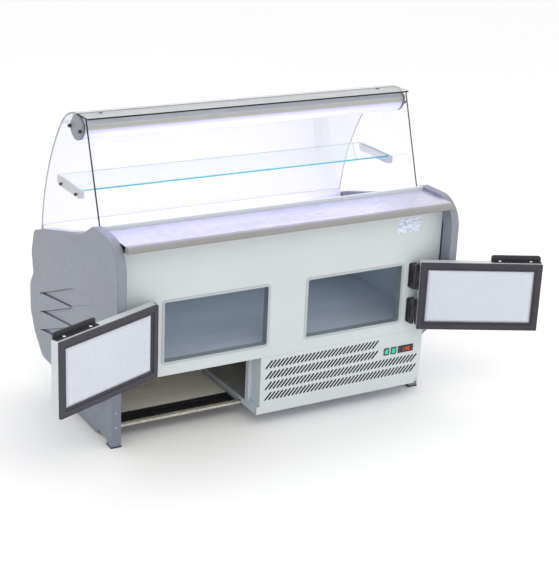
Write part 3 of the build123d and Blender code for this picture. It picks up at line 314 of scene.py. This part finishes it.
MATS = {
    "canopy_profile": canopy_look(),
    "abs_grey": moulded("abs_grey", (0.225, 0.243, 0.285), 0.40, 1050.0, 0.0002, 0.3, 0.03),
    "frame_paint": painted("frame_paint", (0.19, 0.215, 0.26), 0.42, 0.4, 0.25),
    "black_rubber": rubber("black_rubber", (0.042, 0.039, 0.05)),
    "galvanised": galvanised("galvanised", (0.62, 0.60, 0.54)),
    "tray_paint": painted("tray_paint", (0.035, 0.04, 0.05), 0.5, 0.4, 0.1),
    "white_paint": painted("white_paint", (0.585, 0.62, 0.635), 0.36),
    "foam_core": moulded("foam_core", (0.72, 0.66, 0.45), 0.9, 400.0, 0.0006, 0.6, 0.05),
    "stainless": brushed("stainless", (0.66, 0.67, 0.70), 0.30),
    "trim_plastic": trim_look(),
    "base_tray": tray_look(),
    "unit_frame": painted("unit_frame", (0.55, 0.60, 0.68), 0.42, 0.4, 0.25),
    "chamber_liner": brushed("chamber_liner", (0.41, 0.46, 0.52), 0.34, "X", 0.0001, 0.35),
    # deck_trays: near-white with a lilac tint, lighter than its steel, as painted light from the lamp above
    "deck_trays": brushed("deck_trays", (0.90, 0.90, 0.94), 0.3, "X", 0.0001, 0.2),
    "duct_panel": painted("duct_panel", (0.84, 0.84, 0.88), 0.36),
    # glass_rail: lightened near-white with a lilac tint, as painted light from the lamp above
    "glass_rail": brushed("glass_rail", (0.88, 0.88, 0.93), 0.34, "X", 0.00006, 0.3),
    # worktop: the lilac-blue tint in its colour is painted reflection of the lilac lamp light
    "worktop": brushed("worktop", (0.62, 0.62, 0.72), 0.27, "X", 0.0001, 0.6, 0.03),
    "nose_grey": moulded("nose_grey", (0.27, 0.268, 0.26), 0.36, 1300.0, 0.0001, 0.2, 0.03),
    "coil_metal": brushed("coil_metal", (0.5, 0.48, 0.44), 0.4, "Z", 0.0001, 0.9),
    "anodised": brushed("anodised", (0.62, 0.64, 0.66), 0.34, "X", 0.00006, 0.85),
    "black_plastic": moulded("black_plastic", (0.022, 0.022, 0.026), 0.42, 1100.0, 0.0002, 0.35, 0.1),
    "liner_plastic": moulded("liner_plastic", (0.59, 0.62, 0.68), 0.3, 900.0, 0.0001, 0.08, 0.015),
    "steel_pin": brushed("steel_pin", (0.6, 0.6, 0.62), 0.22, "Z"),
    "compressor_black": painted("compressor_black", (0.018, 0.018, 0.022), 0.3, 0.5, 0.3),
    "copper": brushed("copper", (0.72, 0.36, 0.22), 0.3, "X", 0.00005),
    "button_grey": moulded("button_grey", (0.11, 0.115, 0.125), 0.5, 1500.0),
    "label": None,
}
EDGE_DARK = (0.004, 0.011, 0.013)
EDGE_AQUA = (0.05, 0.42, 0.46)
MATS["side_glasses"] = glass("side_glass", "X", EDGE_DARK, (0.96, 0.96, 0.985))
MATS["front_glass"] = glass("front_glass", "YZ", (0.22, 0.3, 0.31), (0.88, 0.88, 0.955))
MATS["top_glass"] = glass("top_glass", "Z", (0.004, 0.008, 0.009))
MATS["shelf_glass"] = glass("shelf_glass", "Z", EDGE_AQUA, (0.95, 0.99, 0.99))


def lamp_look():
    look = Look("lamp_lens", 0.0, 0.35, Specular_IOR_Level=0.4)
    ribs = look.add("ShaderNodeTexWave", bands_direction="Z")
    ribs.inputs["Scale"].default_value = 190.0
    look.link(look.space(), ribs.inputs["Vector"])
    soft = look.noise(3.0, 3.0, 0.5)
    tint = look.ramp(soft, [(0.3, (0.78, 0.78, 0.97)), (0.7, (0.85, 0.84, 1.0))])
    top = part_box("lamp_lens")[1].z
    shadow = look.span(look.part("Z"), 0.0, 0.55, top - 0.022, top)
    tone = look.mix(shadow, tint, (0.25, 0.24, 0.42))
    look.colour(look.mix(look.span(ribs.outputs[1], 0.0, 0.12), tone, (0.5, 0.47, 0.8)))
    look.link(tone, look.bsdf.inputs["Emission Color"])
    look.set("Emission Strength", 0.25)
    look.bump(ribs.outputs[1], 0.0002, 0.25)
    return look.mat


def green_look():
    look = Look("rocker_green", 0.0, 0.25, Coat_Weight=0.3)
    cloud = look.noise(60.0, 3.0, 0.5)
    glow = look.ramp(cloud, [(0.3, (0.0, 0.34, 0.16)), (0.7, (0.02, 0.62, 0.33))])
    look.colour(glow)
    look.link(glow, look.bsdf.inputs["Emission Color"])
    look.set("Emission Strength", 0.15)
    look.bump(look.noise(700.0, 2.0, 0.5), 0.0001, 0.2)
    return look.mat


def label_look():
    """Foil plate with rows of faint broken bars in place of print."""
    look = Look("rating_plate", 0.35, 0.42)
    rows = look.add("ShaderNodeTexBrick")
    for key, value in (("Scale", 60.0), ("Mortar Size", 0.028), ("Brick Width", 0.42), ("Row Height", 0.2)):
        rows.inputs[key].default_value = value
    rows.inputs["Color1"].default_value = (0.2, 0.25, 0.4, 1)
    rows.inputs["Color2"].default_value = (0.62, 0.68, 0.8, 1)
    rows.inputs["Mortar"].default_value = (0.72, 0.77, 0.86, 1)
    look.link(look.space((1, 1, 1), (math.pi / 2, 0, 0)), rows.inputs["Vector"])
    patch = look.noise(130.0, 1.0, 0.3, (0.5, 1, 1.4))
    ink = look.span(patch, 0.0, 1.0, 0.48, 0.52)
    look.colour(look.mix(ink, (0.72, 0.77, 0.86), rows.outputs[0]))
    look.rough(look.span(look.noise(80.0), 0.35, 0.5))
    return look.mat


def glow_look(name, colour, strength):
    look = Look(name, 0.0, 0.4)
    cloud = look.noise(300.0, 2.0, 0.5)
    tone = look.ramp(cloud, [(0.3, shade(colour, 0.85)), (0.7, colour)])
    look.colour(tone)
    look.link(tone, look.bsdf.inputs["Emission Color"])
    look.set("Emission Strength", strength)
    return look.mat


MATS["lens_plastic"] = lamp_look()
MATS["rocker_green"] = green_look()
MATS["label"] = label_look()
MATS["red_digit"] = glow_look("red_digit", (1.0, 0.05, 0.03), 1.2)
MATS["window"] = moulded("display_window", (0.03, 0.004, 0.005), 0.12, 1200.0, 0.0001, 0.05, 0.1)
MATS["screen"] = moulded("filter_screen", (0.002, 0.002, 0.003), 0.8, 700.0, 0.0004, 0.8, 0.2)
MATS["white_nylon"] = moulded("white_nylon", (0.8, 0.8, 0.78), 0.4, 800.0, 0.0001, 0.2)

for row in frame["record"]["subparts"]:
    node = frame["nodes"][row["node"]]
    mat = MATS.get(row["node"]) or MATS[row["material_slot"]]
    if not node.data.materials:
        node.data.materials.append(mat)
    for i in range(len(node.material_slots)):
        node.material_slots[i].link = "OBJECT"
        node.material_slots[i].material = mat


# ================= mesh helpers =================
def piece(name, bm, mat, body, smooth=35.0, bevel=0.0, segments=2):
    """Finish a bmesh as a piece that rides on a CAD body."""
    bmesh.ops.remove_doubles(bm, verts=bm.verts, dist=1e-6)
    bmesh.ops.recalc_face_normals(bm, faces=bm.faces)
    mesh = bpy.data.meshes.new(name)
    bm.to_mesh(mesh)
    bm.free()
    obj = bpy.data.objects.new(name, mesh)
    bpy.context.scene.collection.objects.link(obj)
    mesh.materials.append(MATS[mat])
    for polygon in mesh.polygons:
        polygon.use_smooth = True
    if bevel:
        m = obj.modifiers.new("bevel", "BEVEL")
        m.width = bevel
        m.segments = segments
        m.limit_method = "ANGLE"
        m.angle_limit = math.radians(30)
        m.harden_normals = False
    mesh.set_sharp_from_angle(angle=math.radians(smooth))
    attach(obj, body)
    return obj


def add_box(bm, lo, hi):
    corners = [bm.verts.new((x, y, z))
               for z in (lo[2], hi[2]) for y in (lo[1], hi[1]) for x in (lo[0], hi[0])]
    for a, b, c, d in ((0, 2, 3, 1), (4, 5, 7, 6), (0, 1, 5, 4), (2, 6, 7, 3), (0, 4, 6, 2), (1, 3, 7, 5)):
        bm.faces.new((corners[a], corners[b], corners[c], corners[d]))


def add_lathe(bm, profile, at, axis, steps=24):
    """Turn (radius, height) pairs round an axis through a point, heights along the axis."""
    axis = Vector(axis).normalized()
    side = axis.orthogonal().normalized()
    other = axis.cross(side)
    rings = []
    for radius, height in profile:
        centre = Vector(at) + axis * height
        if radius < 1e-7:
            rings.append([bm.verts.new(centre)])
            continue
        ring = []
        for i in range(steps):
            a = 2 * math.pi * i / steps
            ring.append(bm.verts.new(centre + (side * math.cos(a) + other * math.sin(a)) * radius))
        rings.append(ring)
    for low, high in zip(rings, rings[1:]):
        for i in range(steps):
            j = (i + 1) % steps
            if len(low) == 1:
                bm.faces.new((low[0], high[j], high[i]))
            elif len(high) == 1:
                bm.faces.new((low[i], low[j], high[0]))
            else:
                bm.faces.new((low[i], low[j], high[j], high[i]))


def add_tube(bm, points, radius, steps=12):
    """A round tube along points, with closed ends."""
    points = [Vector(p) for p in points]
    rings = []
    side = None
    for i, p in enumerate(points):
        along = (points[min(i + 1, len(points) - 1)] - points[max(i - 1, 0)]).normalized()
        side = along.orthogonal() if side is None else side - along * side.dot(along)
        side.normalize()
        other = along.cross(side)
        turns = [2 * math.pi * k / steps for k in range(steps)]
        rings.append([bm.verts.new(p + (side * math.cos(a) + other * math.sin(a)) * radius) for a in turns])
    for low, high in zip(rings, rings[1:]):
        for k in range(steps):
            j = (k + 1) % steps
            bm.faces.new((low[k], low[j], high[j], high[k]))
    bm.faces.new(rings[0][::-1])
    bm.faces.new(rings[-1])


def rounded_loop(x0, x1, z0, z1, radius, steps=6):
    """Points round a rectangle with rounded corners, in X and Z."""
    points = []
    for cx, cz, start in ((x1 - radius, z1 - radius, 0), (x0 + radius, z1 - radius, 90),
                          (x0 + radius, z0 + radius, 180), (x1 - radius, z0 + radius, 270)):
        for i in range(steps + 1):
            a = math.radians(start + 90 * i / steps)
            points.append((cx + radius * math.cos(a), cz + radius * math.sin(a)))
    return points


def add_bead(bm, loop, y, width, height):
    """A half-round bead along a closed loop on a face at Y, standing out to +Y."""
    count = len(loop)
    middle = (sum(p[0] for p in loop) / count, sum(p[1] for p in loop) / count)
    section = [(math.cos(math.pi * k / 6) * width / 2, math.sin(math.pi * k / 6) * height) for k in range(7)]
    rings = []
    for i, (x, z) in enumerate(loop):
        ahead = Vector(loop[(i + 1) % count])
        behind = Vector(loop[i - 1])
        tangent = (ahead - behind).normalized()
        out = Vector((tangent.y, -tangent.x))
        if out.dot(Vector((x, z)) - Vector(middle)) < 0:
            out = -out
        rings.append([bm.verts.new((x + out.x * a, y + b, z + out.y * a)) for a, b in section])
    for i in range(count):
        low, high = rings[i], rings[(i + 1) % count]
        for k in range(len(section)):
            j = (k + 1) % len(section)
            bm.faces.new((low[k], low[j], high[j], high[k]))


def open_door(bm, side):
    """Turn what was drawn on the shut right door to its open place, on either side."""
    turn = (Matrix.Translation((HINGE.x, HINGE.y, 0)) @ Matrix.Rotation(DOOR_OPEN[side], 4, "Z")
            @ Matrix.Translation((-HINGE.x, -HINGE.y, 0)))
    bmesh.ops.transform(bm, matrix=turn, verts=bm.verts)
    if side < 0:
        bmesh.ops.transform(bm, matrix=Matrix.Scale(-1, 4, (1, 0, 0)), verts=bm.verts)


# (radius, height) of each head, from its middle to its rim
SCREW = ((0.0, 0.0024), (0.0021, 0.0024), (0.0023, 0.0008), (0.0026, 0.0008), (0.0030, 0.0026),
         (0.0046, 0.0021), (0.0056, 0.0011), (0.0058, 0.0))
RIVET = ((0.0, 0.0016), (0.0008, 0.0016), (0.0010, 0.0012), (0.0014, 0.0012), (0.0022, 0.0012),
         (0.0031, 0.0006), (0.0034, 0.0))


# ================= doors =================
def door_details(side, word):
    body = word + "_door"
    bm = bmesh.new()
    face = GASKET_Y - 0.004
    for inset, width, height in ((0.0045, 0.003, 0.0), (0.0275, 0.0022, 0.0)):
        loop = rounded_loop(DOOR_X[0] + inset, DOOR_X[1] - inset, DOOR_Z[0] + inset, DOOR_Z[1] - inset, 0.004)
        add_bead(bm, loop, (GASKET_Y if inset < 0.02 else face) - 0.0005, width, 0.0011)
    open_door(bm, side)
    piece("gasket_beads_" + word, bm, "black_rubber", body)

    bm = bmesh.new()
    for x in (DOOR_X[0] + 0.046, DOOR_X[0] + 0.174):
        add_lathe(bm, SCREW, (x, REAR_Y - 0.0275, DOOR_Z[1] + 0.0035), (0, 0, 1))
    open_door(bm, side)
    piece("handle_screws_" + word, bm, "white_nylon", body)


for side, word in ((-1, "left"), (1, "right")):
    door_details(side, word)


# ================= rating plate, rivets =================
def rating_plate():
    bm = bmesh.new()
    loop = rounded_loop(0.492, 0.608, 0.736, 0.797, 0.003)
    back = [bm.verts.new((x, REAR_Y, z)) for x, z in loop]
    front = [bm.verts.new((x, REAR_Y - 0.0006, z)) for x, z in loop]
    count = len(loop)
    for i in range(count):
        j = (i + 1) % count
        bm.faces.new((back[i], back[j], front[j], front[i]))
    bm.faces.new(front)
    bm.faces.new(back[::-1])
    piece("rating_plate", bm, "label", "case")


rating_plate()


def rivets():
    bm = bmesh.new()
    for x in (-0.688, 0.688):
        for z in (0.085, 0.145, 0.235):
            add_lathe(bm, RIVET, (x, REAR_Y + 0.080, z), (0, -1, 0), 16)
    piece("leg_rivets", bm, "steel_pin", "case")


rivets()


def filter_screen():
    """Black woven filter clipped behind the slots, cut away round the controls."""
    outline = [(-0.100, 0.100), (0.650, 0.100), (0.650, 0.203), (0.450, 0.203),
               (0.450, 0.296), (-0.100, 0.296)]
    bm = bmesh.new()
    y = REAR_Y + 0.010
    front = [bm.verts.new((x, y, z)) for x, z in outline]
    back = [bm.verts.new((x, y + 0.001, z)) for x, z in outline]
    for i in range(len(outline)):
        j = (i + 1) % len(outline)
        bm.faces.new((front[i], front[j], back[j], back[i]))
    bm.faces.new(front)
    bm.faces.new(back[::-1])
    piece("filter_screen", bm, "screen", "case")


filter_screen()


def hinge_bolts():
    """Two bolt heads on each hinge's base plate."""
    bm = bmesh.new()
    for sx in (-1, 1):
        for z in (0.349, 0.499):
            for dz in (0.022, 0.082):
                add_lathe(bm, SCREW, (sx * (HINGE.x + 0.015), REAR_Y - 0.0062, z + dz), (0, -1, 0), 18)
    piece("hinge_bolts", bm, "steel_pin", "case")


hinge_bolts()


# ================= controls =================
def digits():
    """Three seven-segment figures behind a dark red window."""
    lo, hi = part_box("thermostat")
    y = lo.y
    centre = (lo.x + hi.x) / 2
    bm = bmesh.new()
    loop = rounded_loop(centre - 0.0235, centre + 0.0235, CONTROL_Z - 0.0100, CONTROL_Z + 0.0100, 0.0015)
    back = [bm.verts.new((x, y + 0.0004, z)) for x, z in loop]
    front = [bm.verts.new((x, y - 0.0003, z)) for x, z in loop]
    for i in range(len(loop)):
        j = (i + 1) % len(loop)
        bm.faces.new((back[i], back[j], front[j], front[i]))
    bm.faces.new(front)
    bm.faces.new(back[::-1])
    piece("display_window", bm, "window", "case")

    bm = bmesh.new()
    w, h, t = 0.0075, 0.0135, 0.0014
    # middle of each bar, and whether it lies level
    bars = {"a": (0, h / 2, 1), "g": (0, 0, 1), "d": (0, -h / 2, 1), "f": (-w / 2, h / 4, 0),
            "b": (w / 2, h / 4, 0), "e": (-w / 2, -h / 4, 0), "c": (w / 2, -h / 4, 0)}
    for offset, lit in ((-0.013, "abcd"), (0.0, "abgcd"), (0.013, "abcdefg")):
        for key in lit:
            x, z, level = bars[key]
            length = (w if level else h / 2) / 2 - t * 0.55
            tip = t / 2
            x += centre + offset
            z += CONTROL_Z
            outline = [(-length, 0), (-length + tip, tip), (length - tip, tip), (length, 0),
                       (length - tip, -tip), (-length + tip, -tip)]
            if not level:
                outline = [(b, a) for a, b in outline]
            ring = [bm.verts.new((x + a, y - 0.0005, z + b)) for a, b in outline]
            base = [bm.verts.new((x + a, y - 0.0002, z + b)) for a, b in outline]
            bm.faces.new(ring)
            bm.faces.new(base[::-1])
            for i in range(6):
                j = (i + 1) % 6
                bm.faces.new((base[i], base[j], ring[j], ring[i]))
    piece("display_digits", bm, "red_digit", "case")


digits()


# ================= coils =================
def finned_coil(name, node, pitch, rows, tube_z, tube_step, ends):
    """Thin fins, copper tubes through them, U-bends and end plates, in the CAD block's place."""
    lo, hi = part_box(node)
    bm = bmesh.new()
    x0, x1 = lo.x + ends, hi.x - ends
    y0, y1 = lo.y + 0.004, hi.y - 0.004
    z0, z1 = lo.z + 0.004, hi.z - 0.004
    x = x0 + pitch / 2
    while x < x1:
        add_box(bm, (x - 0.00012, y0, z0), (x + 0.00012, y1, z1))
        x += pitch
    for x in (x0, x1):
        add_box(bm, (x - 0.001, lo.y, lo.z), (x + 0.001, hi.y, hi.z))
    fins = piece(name + "_fins", bm, "coil_metal", "case", 30)
    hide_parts(node)
    bm = bmesh.new()
    for row in range(rows):
        z = tube_z + row * tube_step
        ya, yb = y0 + (y1 - y0) * 0.3, y0 + (y1 - y0) * 0.7
        bend = (yb - ya) / 2
        path = [(x0, ya, z), (x1, ya, z)]
        reach = min(ends - 0.005, bend)
        for i in range(1, 8):
            a = math.pi * i / 8
            path.append((x1 + math.sin(a) * reach, (ya + yb) / 2 - math.cos(a) * bend, z))
        path += [(x1, yb, z), (x0, yb, z)]
        add_tube(bm, path, 0.0045, 10)
    piece(name + "_tubes", bm, "copper", "case")


finned_coil("condenser_coil", "condenser", 0.0032, 7, 0.086, 0.028, 0.014)
finned_coil("evaporator_coil", "evaporator", 0.0055, 4, 0.688, 0.028, 0.018)


# ================= camera, light, floor =================
def camera():
    data = bpy.data.cameras.new("camera")
    data.sensor_width = 36.0
    data.lens = 89.66
    data.clip_end = 60.0
    obj = bpy.data.objects.new("camera", data)
    bpy.context.scene.collection.objects.link(obj)
    yaw, pitch, roll = (math.radians(a) for a in (30.65, 20.21, -2.52))
    ahead = Vector((math.sin(yaw) * math.cos(pitch), math.cos(yaw) * math.cos(pitch), -math.sin(pitch)))
    right0 = Vector((math.cos(yaw), -math.sin(yaw), 0))
    down0 = ahead.cross(right0)
    right = right0 * math.cos(roll) + down0 * math.sin(roll)
    down = down0 * math.cos(roll) - right0 * math.sin(roll)
    m = Matrix((right, -down, -ahead)).transposed().to_4x4()
    m.translation = Vector((-2.6813, BASE_Y - 4.8258, 2.4924))
    obj.matrix_world = m
    bpy.context.scene.camera = obj


camera()


def area_light(name, at, target, size, power, colour=(1, 1, 1)):
    data = bpy.data.lights.new(name, "AREA")
    data.shape = "RECTANGLE"
    data.size, data.size_y = size
    data.energy = power
    data.color = colour
    obj = bpy.data.objects.new(name, data)
    bpy.context.scene.collection.objects.link(obj)
    obj.location = at
    obj.rotation_euler = (Vector(target) - Vector(at)).to_track_quat("-Z", "Y").to_euler()


def studio():
    world = bpy.data.worlds.new("studio")
    bpy.context.scene.world = world
    world.use_nodes = True
    world.node_tree.nodes["Background"].inputs[0].default_value = (1, 1, 1, 1)
    world.node_tree.nodes["Background"].inputs[1].default_value = 1.0
    bpy.context.scene.view_settings.view_transform = "Standard"
    area_light("key", (-0.8, BASE_Y - 3.6, 4.2), (0, BASE_Y, 0.6), (3.0, 2.0), 40)
    area_light("fill", (3.6, BASE_Y - 2.4, 2.2), (0, BASE_Y, 0.6), (2.4, 2.4), 12)
    area_light("top", (0.4, BASE_Y + 1.5, 4.6), (0, BASE_Y, 0.8), (4.0, 3.0), 30)
    area_light("lamp", (0, BASE_Y, 1.128), (0, BASE_Y, 0.6), (1.36, 0.05), 3.5, (0.52, 0.45, 1.0))
    area_light("deck", (0, BASE_Y + 0.1, 0.90), (0, BASE_Y + 0.1, 0.6), (1.36, 0.4), 3.0, (0.85, 0.83, 1.0))
    area_light("chamber", (0, BASE_Y, 0.605), (0, BASE_Y, 0.3), (1.2, 0.3), 1.0, (0.85, 0.93, 1.0))
    bm = bmesh.new()
    bmesh.ops.create_grid(bm, x_segments=1, y_segments=1, size=30.0)
    mesh = bpy.data.meshes.new("floor")
    bm.to_mesh(mesh)
    bm.free()
    floor = bpy.data.objects.new("floor", mesh)
    bpy.context.scene.collection.objects.link(floor)
    look = Look("floor", 0.0, 0.7)
    look.colour(look.ramp(look.noise(0.6, 2.0), [(0.3, (0.965, 0.965, 0.965)), (0.7, (0.975, 0.975, 0.975))]))
    mesh.materials.append(look.mat)


studio()
